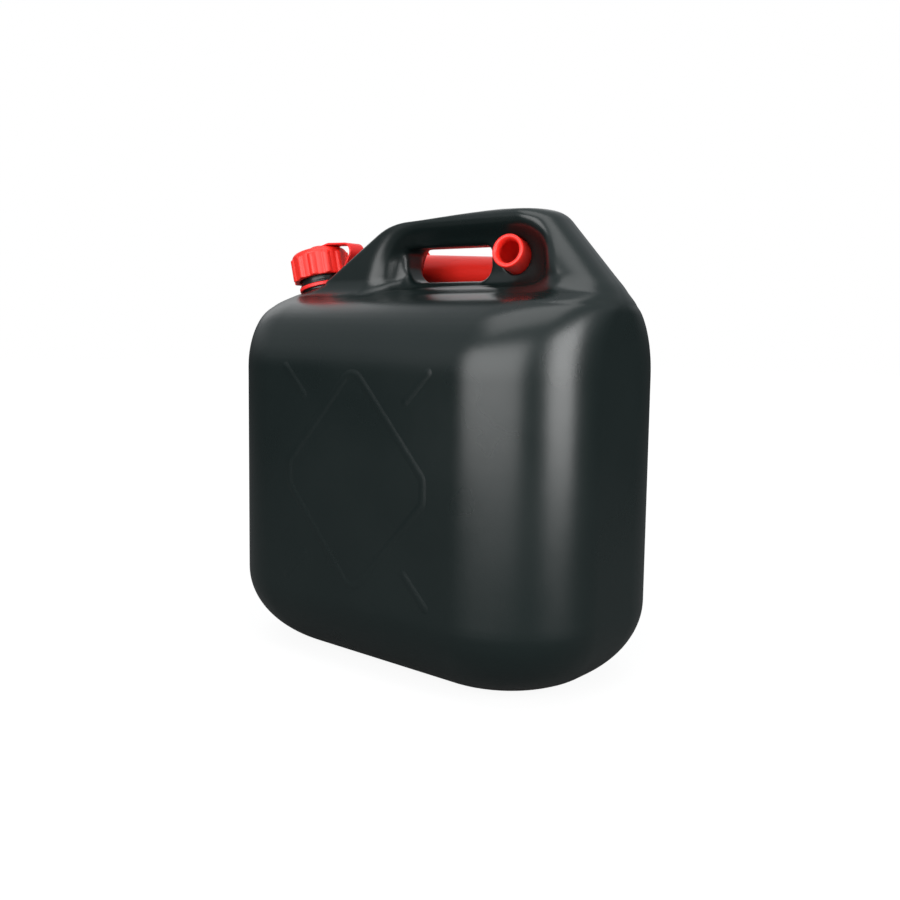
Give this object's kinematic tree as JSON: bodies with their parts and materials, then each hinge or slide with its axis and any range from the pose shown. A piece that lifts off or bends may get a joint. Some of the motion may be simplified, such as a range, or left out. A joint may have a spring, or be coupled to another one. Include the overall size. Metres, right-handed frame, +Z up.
{
  "type": "fuel can",
  "caption": "Black blown plastic fuel can with a built-in handle, a red ribbed screw cap on a soft tether and a red elbow spout stored in the handle.",
  "frame": {"origin": "middle of the can's foot, on the ground", "axes": "+X from the cap end to the rear, +Y to the side where the spout is stored, +Z up"},
  "size_m": [0.2996, 0.1746, 0.3118],
  "materials": {
    "can_body": "satin black polyethylene",
    "screw_cap": "satin red polyethylene",
    "cap_gasket": "matt black rubber",
    "tether": "soft red polyethylene",
    "spout_tube": "satin red polyethylene",
    "spout_collar": "satin red polyethylene",
    "spout_gasket": "matt black rubber"
  },
  "bodies": {
    "can": {"can_body": "can_body", "tether": "tether", "spout_tube": "spout_tube", "spout_gasket": "spout_gasket"},
    "seal": {"cap_gasket": "cap_gasket"},
    "cap": {"screw_cap": "screw_cap"},
    "collar": {"spout_collar": "spout_collar"}
  },
  "joints": [
    {"name": "cap_lift", "type": "slide", "parent": "can", "child": "seal", "axis": [-0.2419, 0, 0.9703], "range_m": [0, 0.0061], "deforming": ["tether"]},
    {"name": "cap_turn", "type": "hinge", "parent": "seal", "child": "cap", "pos_m": [-0.1176, 0, 0.2586], "axis": [-0.2419, 0, 0.9703], "range_deg": [0, 540]},
    {"name": "collar_spin", "type": "hinge", "parent": "can", "child": "collar", "pos_m": [0.068, 0.04, 0.2723], "axis": [-0.9951, 0.0783, 0.061], "continuous": true}
  ],
  "couplings": [
    {"joint": "cap_lift", "follows": "cap_turn", "m_per_rad": 0.00063662}
  ]
}
